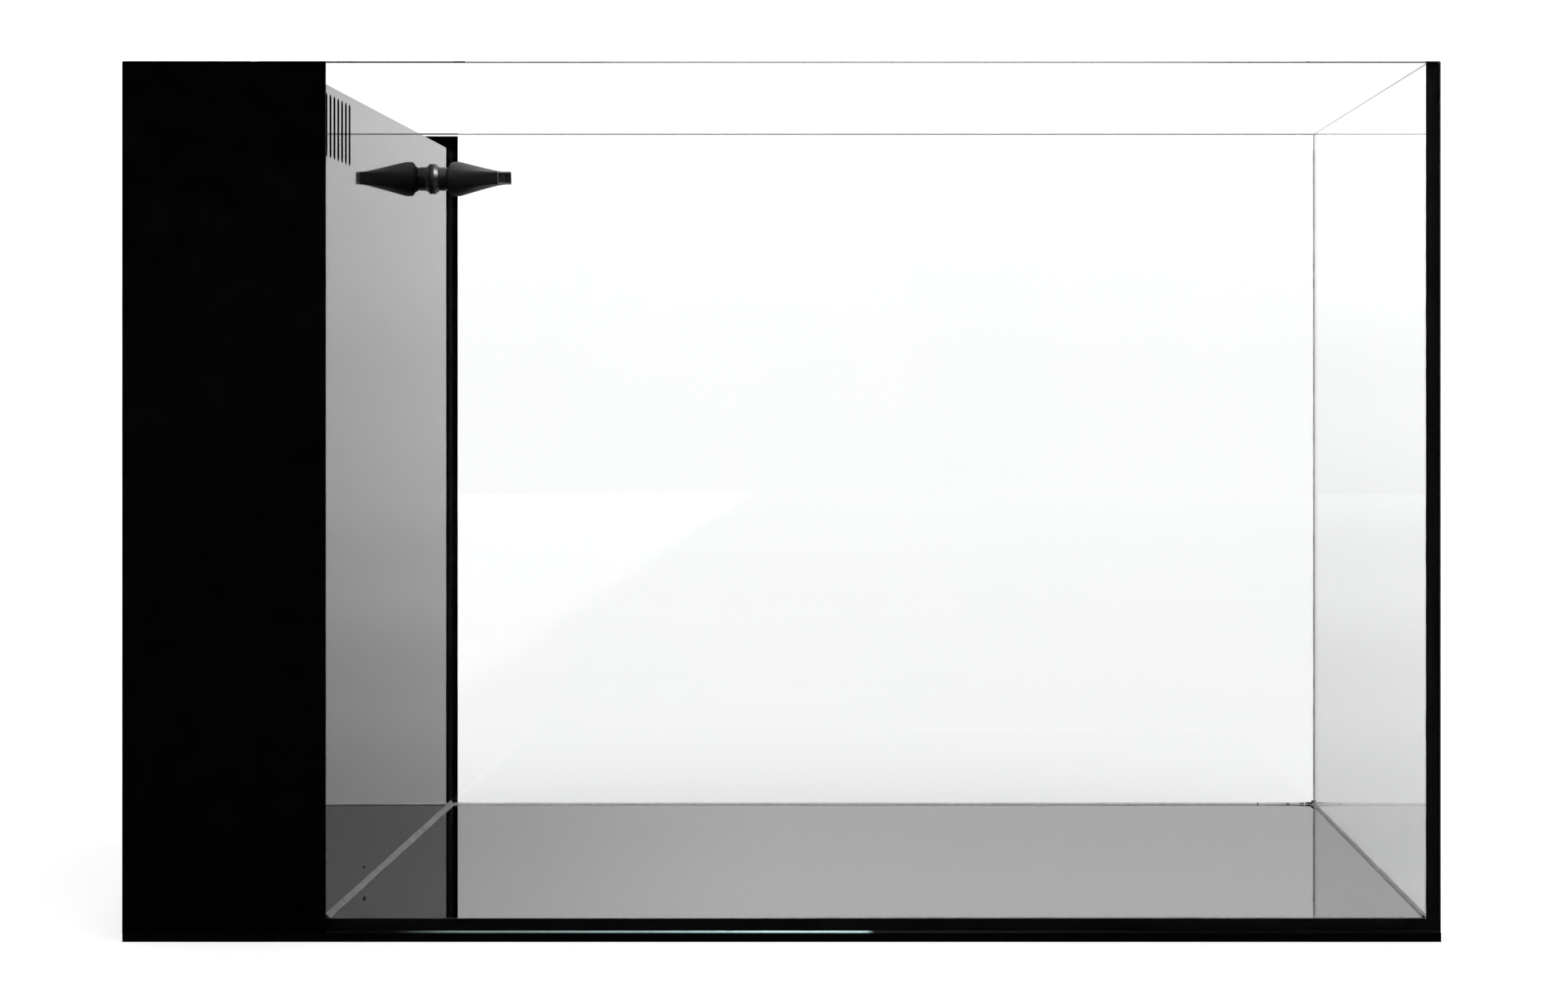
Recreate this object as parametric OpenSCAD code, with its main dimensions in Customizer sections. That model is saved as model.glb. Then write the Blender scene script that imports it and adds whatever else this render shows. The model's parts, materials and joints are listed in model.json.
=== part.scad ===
// Rimless glass aquarium with a black filter chamber along its left end.
// Frame: +X to the right, +Y to the back, +Z up, origin on the ground under the middle of the tank.

/* [Tank] */
// Outside width of the glass, left to right
tank_w = 600; // [480:10:900]
// Outside depth of the glass, front to back
tank_d = 400; // [400:10:600]
// Height of the four walls, which stand round the bottom pane
wall_h = 397; // [380:1:490]
// Thickness of every glass pane
glass_t = 6; // [5:1:8]
// Ground bevel along the edges of the glass
arris = 0.5; // [0.3:0.1:0.8]
// Thickness of the foam mat under the tank
mat_t = 4; // [3:0.5:8]

/* [Glue and film] */
// Silicone layer between two glued panes
seam_t = 0.5; // [0.3:0.1:1]
// Leg of the clear bead along the floor at the two ends of the display
floor_bead_r = 2; // [1.5:0.5:5]
// Leg of the thin beads in the corners and along the front and back of the floor
corner_bead_r = 1; // [0.8:0.2:2]
// Leg of the black beads inside the filter chamber
chamber_bead_r = 3.5; // [2:0.5:4]
// Thickness of the black outside film
film_t = 0.15; // [0.1:0.05:0.3]
// Bare glass left above the front and left films
film_drop = 0.2; // [0.2:0.2:5]
// Bare glass left above the back film
back_film_drop = 1.4; // [0.2:0.2:5]
// How far the back film reaches into the display past the partition
film_over = 3.4; // [1:0.2:8]
// How far the front film reaches into the display past the partition
front_over = 1.2; // [1:0.2:8]

/* [Partition] */
// Outside left face of the tank to the display face of the partition
chamber_w = 91.4; // [91:0.2:93]
// Thickness of the partition
panel_t = 5; // [4:0.5:6]
// Rim down to the top edge of the partition
panel_drop = 9.9; // [6:0.1:12]
// Number of surface slots in the partition
slot_count = 7; // [3:1:8]
// Distance between slots
slot_pitch = 9.7; // [8:0.1:12]
// Width of a slot
slot_w = 4.8; // [3:0.2:5.4]
// Height of a slot, with its round ends
slot_h = 29.4; // [20:0.2:30]
// Rim down to the top of the slots
slot_drop = 13.6; // [13:0.1:16]
// Front face of the tank to the middle of the first slot
slot_first = 9.8; // [9.8:0.1:12]

/* [Chamber fittings] */
// Thickness of the two baffles
baffle_t = 4; // [3:0.5:5]
// Length of the intake compartment at the front
intake_len = 96; // [96:1:100]
// Water gap under the intake baffle
underpass_h = 40; // [30:1:46]
// Rim down to the crest of the weir baffle
weir_drop = 100; // [90:1:110]
// Length of the pump compartment at the back
pump_room = 128; // [126:1:132]
// Rim down to the top of the sock tray
tray_drop = 57; // [50:1:70]
// Diameter of the filter sock
sock_d = 62.4; // [56:0.2:62.4]
// Length of the filter sock below its tray
sock_len = 172; // [120:1:180]
// Height of one media tray
media_h = 70; // [60:1:72]
// Wall of a media tray
media_wall = 1.6; // [1.2:0.2:2]

/* [Pump] */
// Diameter of the impeller
impeller_d = 34; // [28:1:35]
// Number of impeller blades
blade_count = 6; // [4:1:8]
// Height of a suction cup
cup_h = 8; // [6:1:10]
// Diameter of a suction cup
cup_d = 18; // [14:1:20]

/* [Return] */
// Front face of the tank to the axis of the return nozzle
nozzle_depth = 327; // [322:1:332]
// Rim down to the axis of the return nozzle
nozzle_drop = 31.3; // [28:0.1:36]
// Outside diameter of the return hose
hose_d = 17; // [16:0.5:18]
// Radius of the ball that the nozzle turns on
ball_r = 8.35; // [8.2:0.05:8.4]
// Rest angle of the nozzle, turned towards the front
nozzle_yaw = 16; // [0:1:20]
// Rest roll of the nozzle about its own axis, front edge down
nozzle_roll = 3.7; // [0:0.1:8]
// Ball centre to the mouth of the nozzle
nozzle_len = 28; // [24:1:34]
// Height of the mouth of the nozzle
mouth_h = 7; // [6:0.5:9]

/* [Hidden] */
$fn = 64;
eps = 0.05;
through = 1;

// Levels and faces of the tank
floor_z = mat_t + glass_t;
rim_z = mat_t + wall_h;
x_out = tank_w / 2;
y_out = tank_d / 2;
x_in = x_out - glass_t;
y_in = y_out - glass_t;
end_len = 2 * (y_in - seam_t);
bead_hollow = 1.2;
bottom_w = 2 * (x_in - seam_t);

// Levels and faces of the filter chamber
panel_x = -x_out + chamber_w;
panel_back = panel_x - panel_t;
panel_z = rim_z - panel_drop;
chamber_x = (panel_back - x_in) / 2;
chamber_gap = panel_back + x_in;
baffle_w = chamber_gap - 2 * seam_t;
intake_y = -y_in + intake_len;
weir_y = y_in - pump_room - baffle_t;
weir_z = rim_z - weir_drop;

// Intake compartment
tray_t = 4;
tray_top = rim_z - tray_drop;
tray_w = chamber_gap - 1.6;
tray_len = intake_len - 2 * chamber_bead_r - 2;
sock_y = -y_in + intake_len / 2;
sock_r = sock_d / 2;
felt_t = 1.2;
collar_r = sock_r - felt_t;
collar_wall = 2;
collar_h = 14;
ring_r = sock_r + 6;
ring_t = 3;
tray_hole_r = sock_r + 0.8;
bail_r = 26;
bail_rod = 1.8;
bail_post = 3;
ledge_w = 6;
ledge_h = 5;

// Media compartment
basket_wall = 2;
basket_w = chamber_gap - 1.4;
media_room = weir_y - intake_y - baffle_t;
basket_len = media_room - 2 * chamber_bead_r - 4;
basket_y = (intake_y + baffle_t + weir_y) / 2;
basket_z = floor_z + underpass_h + 10;
basket_floor = 2;
stack_z = basket_z + basket_floor;
basket_h = basket_floor + 3 * media_h + 12;
media_w = basket_w - 2 * basket_wall - 0.8;
media_len = basket_len - 2 * basket_wall - 0.8;
grid_w = 4;
grid_pitch = 8;
grid_edge = 3;
outer_corner = 3;
inner_corner = 1.2;
lug_w = 30;
lug_h = 24;
lug_corner = 8;
lug_rim = 5;
finger_h = 11;
grip_w = 26;
grip_h = 7;
grip_drop = 9;
fill_w = media_w - 2 * media_wall - 1;
fill_len = media_len - 2 * media_wall - 1;
bag_h = 50;
sponge_h = 58;
floss_h = 24;

// Pump, drawn about the crossing of its motor axis and its outlet axis
base_t = 4;
motor_w = 52;
motor_h = 54;
motor_r = 9;
motor_front = 11;
motor_back = 57;
motor_wall = 3;
core_start = 7;
core_len = 26;
core_w = 42;
core_h = 30;
coil_h = 7;
well_r = 10;
well_wall = 2;
well_back = 45;
volute_r = 24;
volute_front = -11;
volute_wall = 3;
volute_cavity_r = 20;
inlet_r = 9;
shaft_r = 1.5;
bush_r = 3.2;
run_gap = 0.05;
bush_seat = 0.8;
bush_len = 2.2;
bush_rim = 1.4;
spoke_w = 1.8;
shaft_inset = 1.2;
shaft_gap = 0.2;
hub_r = 4.5;
blade_root = 3;
blade_t = 1.6;
blade_gap = 0.4;
rotor_len = 34;
rotor_r = 8.6;
strainer_front = -31;
strainer_wall = 2;
strainer_slots = 16;
strainer_slot_start = 4;
strainer_slot_len = 12;
strainer_slot_w = 2.8;
dial_gap = 0.3;
knob_r = 11;
knob_flutes = 12;
flute_r = 2;
dial_disc_r = 17;
dial_disc_t = 1.6;
dial_disc_y = 3;
spindle_len = 5;
spindle_r = 2.5;
spigot_r = 8;
spigot_z = 27;
spigot_top = 50;
barb_count = 4;
barb_pitch = 5;
barb_h = 4;
barb_rise = 0.6;
barb_root = 0.5;
pump_y = nozzle_depth - y_out;
pump_z = floor_z + cup_h + base_t + motor_h / 2;
base_front = -26;
base_back = 56;
base_w = 58;
cup_x = 19;
cup_ys = [-15, 45];
cup_neck_r = 3;
gland_y = 47;
rib_count = 3;
rib_pitch = 8;
rib_t = 3;
rib_h = 1.6;
gland_r = 6;
gland_h = 12;
cord_r = 3;
gland_hex = 1.6;
gland_hex_h = 4;
gland_collar_h = 6;
gland_floor = 2;

// Return line
nozzle_z = rim_z - nozzle_drop;
hose_wall = 2;
hose_in = hose_d / 2 - hose_wall;
barb_r = hose_in - eps;
duct_r = 4.8;
hose_bottom = pump_z + spigot_z + 0.5;
hose_top = nozzle_z - 17;
clamp_h = 8;
clamp_t = 0.8;
clamp_screw_r = 2.2;
clamp_screw_len = 18;
clamp_lug_w = 8;
clamp_lug_h = 5.2;
shank_r = 6.6;
thread_pitch = 1.5;
flange_r = 8.6;
flange_t = 2.4;
flange_rim = 0.4;
flange_top_r = 6.9;
gasket_t = 1;
nut_t = 6.5;
nut_flats = 20;
shank_end = 18;
elbow_r = 8.8;
elbow_drop = 15.5;
elbow_tail = 38;
shank_grip = 11;
elbow_start = nut_t + 2;
ball_x = 13.6;
collar_len = 3.9;
socket_r = ball_r + 0.1;
neck_r = 6.15;
stub_bore = 3.4;
shell_r = 9.6;
rim_a = 3.3;
lip_r = 2;
socket_end = 1.4;
mouth_wall = 1.1;
lip_len = 3;
lip_corner = 1.4;
throat_r = 7.3;
throat_x = 3.6;

// ---- Helpers ----

// Extrude an upright X-Z outline along +Y
module along_y(len) {
    translate([0, len, 0])
        rotate([90, 0, 0])
            linear_extrude(height = len)
                children();
}

// Extrude an upright Y-Z outline along +X
module along_x(len) {
    rotate([90, 0, 90])
        linear_extrude(height = len)
            children();
}

// Turn an outline of revolution so that its axis lies along +X
module axis_x() {
    rotate([0, 90, 0])
        children();
}

// Turn an outline of revolution so that its axis lies along +Y
module axis_y() {
    rotate([-90, 0, 0])
        children();
}

module ring(r_out, r_in, h) {
    difference() {
        cylinder(r = r_out, h = h);
        translate([0, 0, -through])
            cylinder(r = r_in, h = h + 2 * through);
    }
}

module rounded_rect(w, h, r) {
    square([w - 2 * r, h], center = true);
    square([w, h - 2 * r], center = true);
    for (sx = [-1, 1], sy = [-1, 1])
        translate([sx * (w / 2 - r), sy * (h / 2 - r)])
            circle(r = r);
}

module bevelled_rect(a, b, c) {
    polygon([[c, 0], [a - c, 0], [a, c], [a, b - c], [a - c, b], [c, b], [0, b - c], [0, c]]);
}

// A pane of glass whose twelve edges carry a ground bevel
module pane(size) {
    intersection() {
        linear_extrude(height = size.z)
            bevelled_rect(size.x, size.y, arris);
        along_y(size.y)
            bevelled_rect(size.x, size.z, arris);
        along_x(size.x)
            bevelled_rect(size.y, size.z, arris);
    }
}

// Section of a tooled bead in a right-angled corner, concave towards the room
module bead_profile(r) {
    difference() {
        square(r);
        translate([bead_hollow * r, bead_hollow * r])
            circle(r = r);
    }
}

// Upright bead; sx and sy say which way it opens from its corner
module upright_bead(x, y, z, h, r, sx, sy) {
    translate([x, y, z])
        mirror([sx < 0 ? 1 : 0, 0, 0])
            mirror([0, sy < 0 ? 1 : 0, 0])
                linear_extrude(height = h)
                    bead_profile(r);
}

// Bead lying along Y on the floor, opening towards sx
module floor_bead_y(x, y, len, r, sx) {
    translate([x, y, floor_z])
        mirror([sx < 0 ? 1 : 0, 0, 0])
            along_y(len)
                bead_profile(r);
}

// Bead lying along X on the floor, opening towards sy
module floor_bead_x(x, y, len, r, sy) {
    translate([x, y, floor_z])
        mirror([0, sy < 0 ? 1 : 0, 0])
            along_x(len)
                bead_profile(r);
}

// Rows of slots through a plate of the given size, centred on the origin
module grid_slots(w, len, t) {
    rows = floor((len - grid_pitch) / grid_pitch);
    bar = (w - 3 * grid_w) / 2;
    for (i = [0 : rows - 1], s = [-1, 1])
        translate([s * (bar + grid_w) / 2, (i - (rows - 1) / 2) * grid_pitch, t / 2])
            cube([bar, grid_w, t + 2 * through], center = true);
}

// ---- Tank ----

module leveling_mat() {
    color("#1b1b1c")
        translate([-x_out, -y_out, 0])
            cube([tank_w, tank_d, mat_t]);
}

module bottom_pane() {
    color("#bfe0dc", 0.5)
        translate([-bottom_w / 2, -end_len / 2, mat_t])
            pane([bottom_w, end_len, glass_t]);
}

module front_pane() {
    color("#cfe8e6", 0.35)
        translate([-x_out, -y_out, mat_t])
            pane([tank_w, glass_t, wall_h]);
}

module back_pane() {
    color("#cfe8e6", 0.35)
        translate([-x_out, y_in, mat_t])
            pane([tank_w, glass_t, wall_h]);
}

module left_pane() {
    color("#cfe8e6", 0.35)
        translate([-x_out, -end_len / 2, mat_t])
            pane([glass_t, end_len, wall_h]);
}

module right_pane() {
    color("#cfe8e6", 0.35)
        translate([x_in, -end_len / 2, mat_t])
            pane([glass_t, end_len, wall_h]);
}

module bottom_seam() {
    color("#141414")
        translate([0, 0, mat_t + arris])
            difference() {
                translate([-x_in, -y_in, 0])
                    cube([2 * x_in, 2 * y_in, glass_t - arris]);
                translate([-bottom_w / 2, -end_len / 2, -through])
                    cube([bottom_w, end_len, glass_t + 2 * through]);
            }
}

module corner_seams() {
    color("#101010")
        for (x = [-x_out, x_in], y = [-y_in, y_in - seam_t])
            translate([x, y, mat_t])
                cube([glass_t, seam_t, wall_h - arris]);
}

module front_film() {
    color("#0c0c0d")
        translate([-x_out, -y_out - film_t, mat_t])
            cube([chamber_w + front_over, film_t, wall_h - film_drop]);
}

module back_film() {
    color("#0c0c0d")
        translate([-x_out, y_out, mat_t])
            cube([chamber_w + film_over, film_t, wall_h - back_film_drop]);
}

module left_film() {
    color("#0c0c0d")
        translate([-x_out - film_t, -y_out, mat_t])
            cube([film_t, tank_d, wall_h - film_drop]);
}

module floor_bead() {
    inner_y = y_in - corner_bead_r;
    color("#d8dcda", 0.7) {
        floor_bead_y(panel_x, -inner_y, 2 * inner_y, floor_bead_r, 1);
        floor_bead_y(x_in, -inner_y, 2 * inner_y, floor_bead_r, -1);
        floor_bead_x(panel_x, -y_in, x_in - panel_x, corner_bead_r, 1);
        floor_bead_x(panel_x, y_in, x_in - panel_x, corner_bead_r, -1);
    }
}

module corner_beads() {
    z0 = floor_z + floor_bead_r;
    h = panel_z - z0;
    color("#d8dcda", 0.7) {
        for (s = [-1, 1])
            upright_bead(panel_x, s * y_in, z0, h, corner_bead_r, 1, -s);
        for (s = [-1, 1])
            upright_bead(x_in, s * y_in, z0, h, corner_bead_r, -1, -s);
    }
}

// ---- Filter chamber ----

module slot_row() {
    translate([panel_back - through, -y_out + slot_first, rim_z - slot_drop - slot_h / 2])
        along_x(panel_t + 2 * through)
            for (i = [0 : slot_count - 1])
                translate([i * slot_pitch, 0])
                    rounded_rect(slot_w, slot_h, slot_w / 2 - eps);
}

module partition() {
    color("#17181a")
        difference() {
            translate([panel_back, -end_len / 2, floor_z + seam_t])
                cube([panel_t, end_len, panel_z - floor_z - seam_t]);
            slot_row();
            translate([panel_back - through, pump_y, nozzle_z])
                axis_x()
                    cylinder(r = shank_r + run_gap, h = panel_t + 2 * through);
        }
}

module partition_bead() {
    z0 = floor_z + chamber_bead_r;
    front_len = weir_y + y_in - chamber_bead_r;
    back_y = weir_y + baffle_t + chamber_bead_r;
    color("#101010") {
        for (s = [-1, 1])
            upright_bead(panel_back, s * y_in, z0, panel_z - z0, chamber_bead_r, -1, -s);
        floor_bead_y(panel_back, -y_in, front_len, chamber_bead_r, -1);
        floor_bead_y(panel_back, back_y, y_in - back_y, chamber_bead_r, -1);
    }
}

module intake_baffle() {
    z0 = floor_z + underpass_h;
    color("#191a1c")
        translate([-x_in + seam_t, intake_y, z0])
            cube([baffle_w, baffle_t, panel_z - z0]);
}

module weir_baffle() {
    color("#191a1c")
        translate([-x_in + seam_t, weir_y, floor_z + seam_t])
            cube([baffle_w, baffle_t, weir_z - floor_z - seam_t]);
}

module baffle_beads() {
    z1 = floor_z + underpass_h;
    z2 = floor_z + chamber_bead_r;
    color("#101010") {
        for (x = [-x_in, panel_back]) {
            sx = x < chamber_x ? 1 : -1;
            upright_bead(x, intake_y, z1, panel_z - z1, chamber_bead_r, sx, -1);
            upright_bead(x, intake_y + baffle_t, z1, panel_z - z1, chamber_bead_r, sx, 1);
            upright_bead(x, weir_y, z2, weir_z - z2, chamber_bead_r, sx, -1);
            upright_bead(x, weir_y + baffle_t, z2, weir_z - z2, chamber_bead_r, sx, 1);
        }
        floor_bead_x(-x_in, weir_y, chamber_gap, chamber_bead_r, -1);
        floor_bead_x(-x_in, weir_y + baffle_t, chamber_gap, chamber_bead_r, 1);
    }
}

module ledge_pair(y, len, top) {
    for (x = [-x_in, panel_back - ledge_w])
        translate([x, y, top - ledge_h])
            cube([ledge_w, len, ledge_h]);
}

module sock_ledges() {
    color("#191a1c")
        ledge_pair(sock_y - tray_len / 2, tray_len, tray_top - tray_t);
}

module sock_tray() {
    color("#202124")
        translate([chamber_x, sock_y, tray_top - tray_t])
            difference() {
                linear_extrude(height = tray_t)
                    rounded_rect(tray_w, tray_len, outer_corner);
                translate([0, 0, -through])
                    cylinder(r = tray_hole_r, h = tray_t + 2 * through);
            }
}

module sock_ring() {
    color("#e9e9e6")
        translate([chamber_x, sock_y, tray_top]) {
            ring(ring_r, collar_r - collar_wall, ring_t);
            translate([0, 0, -collar_h])
                ring(collar_r, collar_r - collar_wall, collar_h + eps);
            for (s = [-1, 1])
                translate([0, s * bail_r, ring_t - eps])
                    cylinder(r = bail_rod, h = bail_post + eps);
            translate([0, 0, ring_t + bail_post])
                rotate([90, 0, 90])
                    rotate_extrude(angle = 180)
                        translate([bail_r, 0])
                            circle(r = bail_rod);
        }
}

module sock_form(r, straight) {
    translate([0, 0, -straight])
        cylinder(r = r, h = straight);
    translate([0, 0, -straight])
        sphere(r = r);
}

module filter_sock() {
    straight = sock_len - sock_r;
    color("#f3f2ec")
        translate([chamber_x, sock_y, tray_top - eps])
            difference() {
                sock_form(sock_r, straight);
                translate([0, 0, through])
                    sock_form(collar_r, straight + through);
            }
}

module basket_ledges() {
    color("#191a1c")
        ledge_pair(basket_y - basket_len / 2, basket_len, basket_z);
}

// Upright finger lug whose foot runs into the end wall of the basket
module basket_lug() {
    rotate([90, 0, 0])
        linear_extrude(height = basket_wall)
            difference() {
                rounded_rect(lug_w, 2 * lug_h, lug_corner);
                translate([0, -lug_h / 2 - basket_wall])
                    square([lug_w + 2 * through, lug_h], center = true);
                translate([0, lug_h / 2])
                    rounded_rect(lug_w - 2 * lug_rim, finger_h, finger_h / 2 - eps);
            }
}

module media_basket() {
    inner_w = basket_w - 2 * basket_wall;
    inner_len = basket_len - 2 * basket_wall;
    color("#26282b")
        translate([chamber_x, basket_y, basket_z]) {
            difference() {
                linear_extrude(height = basket_h)
                    rounded_rect(basket_w, basket_len, outer_corner);
                translate([0, 0, basket_floor])
                    linear_extrude(height = basket_h)
                        rounded_rect(inner_w, inner_len, inner_corner);
                grid_slots(inner_w - 2 * grid_edge, inner_len - 2 * grid_edge, basket_floor);
            }
            for (s = [-1, 1])
                translate([0, s * (basket_len / 2 - basket_wall / 2) + basket_wall / 2, basket_h])
                    basket_lug();
        }
}

module media_tray(level) {
    inner_w = media_w - 2 * media_wall;
    inner_len = media_len - 2 * media_wall;
    translate([chamber_x, basket_y, stack_z + level * media_h])
        difference() {
            linear_extrude(height = media_h)
                rounded_rect(media_w, media_len, outer_corner - 0.6);
            translate([0, 0, basket_floor])
                linear_extrude(height = media_h)
                    rounded_rect(inner_w, inner_len, inner_corner);
            grid_slots(inner_w - 2 * grid_edge, inner_len - 2 * grid_edge, basket_floor);
            for (s = [-1, 1])
                translate([0, s * media_len / 2, media_h - grip_drop])
                    rotate([90, 0, 0])
                        linear_extrude(height = 4 * media_wall, center = true)
                            rounded_rect(grip_w, grip_h, grip_h / 2 - eps);
        }
}

module lower_tray() {
    color("#2c2e32")
        media_tray(0);
}

module middle_tray() {
    color("#2c2e32")
        media_tray(1);
}

module upper_tray() {
    color("#2c2e32")
        media_tray(2);
}

// A soft filling that lies on the grid of one tray
module tray_filling(level, h, corner) {
    translate([chamber_x, basket_y, stack_z + level * media_h + basket_floor])
        linear_extrude(height = h)
            rounded_rect(fill_w, fill_len, corner);
}

module media_bag() {
    color("#c9b99a")
        tray_filling(0, bag_h, 10);
}

module sponge_block() {
    color("#2a3138")
        tray_filling(1, sponge_h, 2);
}

module floss_pad() {
    color("#f4f6f7")
        tray_filling(2, floss_h, 4);
}

// ---- Pump ----

module at_pump() {
    translate([chamber_x, pump_y, pump_z])
        children();
}

module pump_motor() {
    walls = 2 * motor_wall;
    well_len = well_back + well_wall - motor_front - motor_wall;
    color("#1f2124")
        at_pump() {
            difference() {
                translate([0, motor_front, 0])
                    along_y(motor_back - motor_front)
                        rounded_rect(motor_w, motor_h, motor_r);
                translate([0, motor_front + motor_wall, 0])
                    along_y(motor_back - motor_front - 2 * motor_wall)
                        rounded_rect(motor_w - walls, motor_h - walls, motor_r - motor_wall);
                translate([0, motor_front - through, 0])
                    axis_y()
                        cylinder(r = well_r, h = motor_wall + 2 * through);
            }
            difference() {
                translate([0, motor_front + motor_wall, 0])
                    axis_y()
                        cylinder(r = well_r + well_wall, h = well_len);
                translate([0, motor_front, 0])
                    axis_y()
                        cylinder(r = well_r, h = well_back - motor_front);
            }
            for (i = [0 : rib_count - 1])
                translate([0, motor_front + rib_pitch * (i + 1), motor_h / 2])
                    along_y(rib_t)
                        square([motor_w - 3 * motor_r, rib_h], center = true);
        }
}

module stator_core() {
    color("#7d8084")
        at_pump()
            translate([0, motor_front + core_start, 0])
                along_y(core_len)
                    difference() {
                        square([core_w, core_h], center = true);
                        circle(r = well_r + well_wall + 0.2);
                    }
}

module stator_coils() {
    color("#a3562a")
        at_pump()
            for (s = [-1, 1])
                translate([0, motor_front + core_start + 1, s * (core_h + coil_h + 1) / 2])
                    along_y(core_len - 2)
                        rounded_rect(core_w - coil_h - 1, coil_h, 3);
}

module pump_volute() {
    cavity = motor_front - volute_front - volute_wall;
    color("#24262a")
        at_pump()
            difference() {
                union() {
                    translate([0, volute_front, 0])
                        axis_y()
                            cylinder(r = volute_r, h = motor_front - volute_front);
                    cylinder(r = spigot_r, h = spigot_z);
                    cylinder(r = barb_r - barb_root, h = spigot_top);
                    for (i = [0 : barb_count - 1])
                        translate([0, 0, spigot_z + barb_h + i * barb_pitch])
                            cylinder(r1 = barb_r, r2 = barb_r - barb_rise, h = barb_h);
                }
                translate([0, volute_front + volute_wall, 0])
                    axis_y()
                        cylinder(r = volute_cavity_r, h = cavity + through);
                cylinder(r = duct_r, h = spigot_top + through);
                difference() {
                    translate([0, volute_front - through, 0])
                        axis_y()
                            cylinder(r = inlet_r, h = volute_wall + 2 * through);
                    translate([0, volute_front - 2 * through, 0])
                        axis_y()
                            cylinder(r = bush_r + bush_rim, h = volute_wall + 4 * through);
                    for (a = [0, 60, 120])
                        rotate([0, a, 0])
                            translate([-inlet_r - through, volute_front - 2 * through, -spoke_w / 2])
                                cube([2 * (inlet_r + through), volute_wall + 4 * through, spoke_w]);
                }
                translate([0, volute_front + bush_seat, 0])
                    axis_y()
                        cylinder(r = bush_r, h = volute_wall);
            }
}

module impeller() {
    blade_front = -6;
    disc_y = 6;
    disc_t = 2;
    blade_len = impeller_d / 2 - blade_root - blade_gap;
    bore_len = disc_y + disc_t - blade_front + rotor_len + 2 * through;
    color("#3a3d42")
        at_pump()
            difference() {
                union() {
                    translate([0, disc_y, 0])
                        axis_y()
                            cylinder(d = impeller_d, h = disc_t);
                    translate([0, blade_front, 0])
                        axis_y()
                            cylinder(r = hub_r, h = disc_y - blade_front + eps);
                    for (i = [0 : blade_count - 1])
                        rotate([0, i * 360 / blade_count, 0])
                            translate([blade_root, blade_front, -blade_t / 2])
                                cube([blade_len, disc_y - blade_front + eps, blade_t]);
                    translate([0, disc_y + disc_t - eps, 0])
                        axis_y()
                            cylinder(r = rotor_r, h = rotor_len);
                }
                translate([0, blade_front - through, 0])
                    axis_y()
                        cylinder(r = shaft_r + run_gap, h = bore_len);
            }
}

module impeller_shaft() {
    y0 = volute_front + shaft_inset;
    color("#efece4")
        at_pump()
            translate([0, y0, 0])
                axis_y()
                    cylinder(r = shaft_r, h = well_back - shaft_gap - y0);
}

module shaft_bushes() {
    color("#121212")
        at_pump() {
            for (y = [volute_front + bush_seat, well_back - bush_len])
                translate([0, y, 0])
                    axis_y()
                        ring(bush_r, shaft_r, bush_len);
        }
}

module inlet_strainer() {
    slot_y = strainer_front + strainer_slot_start;
    color("#1c1e21")
        at_pump()
            difference() {
                translate([0, strainer_front, 0])
                    axis_y()
                        cylinder(r = volute_r, h = volute_front - strainer_front);
                translate([0, strainer_front + strainer_wall, 0])
                    axis_y()
                        cylinder(r = volute_r - strainer_wall, h = volute_front - strainer_front);
                for (i = [0 : strainer_slots - 1])
                    rotate([0, (i + 0.5) * 360 / strainer_slots, 0])
                        translate([volute_r - 2 * strainer_wall, slot_y, -strainer_slot_w / 2])
                            cube([3 * strainer_wall, strainer_slot_len, strainer_slot_w]);
                translate([0, strainer_front - through, 0])
                    axis_y()
                        cylinder(r = spindle_r + run_gap, h = strainer_wall + 2 * through);
            }
}

module flow_dial() {
    knob_t = 5;
    color("#3b3e43")
        at_pump()
            translate([0, strainer_front - dial_gap, 0]) {
                difference() {
                    translate([0, -knob_t, 0])
                        axis_y()
                            cylinder(r = knob_r, h = knob_t);
                    for (i = [0 : knob_flutes - 1])
                        rotate([0, i * 360 / knob_flutes, 0])
                            translate([knob_r + flute_r / 2, -knob_t - through, 0])
                                axis_y()
                                    cylinder(r = flute_r, h = knob_t + 2 * through, $fn = 24);
                }
                axis_y()
                    translate([0, 0, -eps])
                        cylinder(r = spindle_r, h = spindle_len);
                translate([0, dial_disc_y, 0])
                    axis_y()
                        cylinder(r = dial_disc_r, h = dial_disc_t);
            }
}

module pump_base() {
    color("#1f2124")
        translate([chamber_x, pump_y, floor_z + cup_h])
            difference() {
                translate([0, (base_front + base_back) / 2, 0])
                    linear_extrude(height = base_t)
                        rounded_rect(base_w, base_back - base_front, 8);
                for (x = [-cup_x, cup_x], y = cup_ys)
                    translate([x, y, -through])
                        cylinder(r = cup_neck_r + run_gap, h = base_t + 2 * through);
            }
}

module suction_cups() {
    color("#2b2b2b")
        for (x = [-cup_x, cup_x], y = cup_ys)
            translate([chamber_x + x, pump_y + y, floor_z])
                rotate_extrude()
                    polygon([
                        [0, 2.4], [cup_d / 2 - 3, 1.2], [cup_d / 2 - 0.6, 0], [cup_d / 2, 0],
                        [cup_d / 2 - 1.6, 2.2], [5, cup_h], [cup_neck_r, cup_h],
                        [cup_neck_r, cup_h + base_t - 0.4],
                        [0, cup_h + base_t - 0.4]
                    ]);
}

module cable_gland() {
    color("#141516")
        at_pump()
            translate([0, gland_y, motor_h / 2])
                difference() {
                    union() {
                        cylinder(r = gland_r + gland_hex, h = gland_hex_h, $fn = 6);
                        cylinder(r = gland_r, h = gland_collar_h);
                        cylinder(r1 = gland_r - 0.6, r2 = cord_r + 1.2, h = gland_h);
                    }
                    translate([0, 0, gland_floor])
                        cylinder(r = cord_r, h = gland_h);
                }
}

// ---- Return line ----

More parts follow.
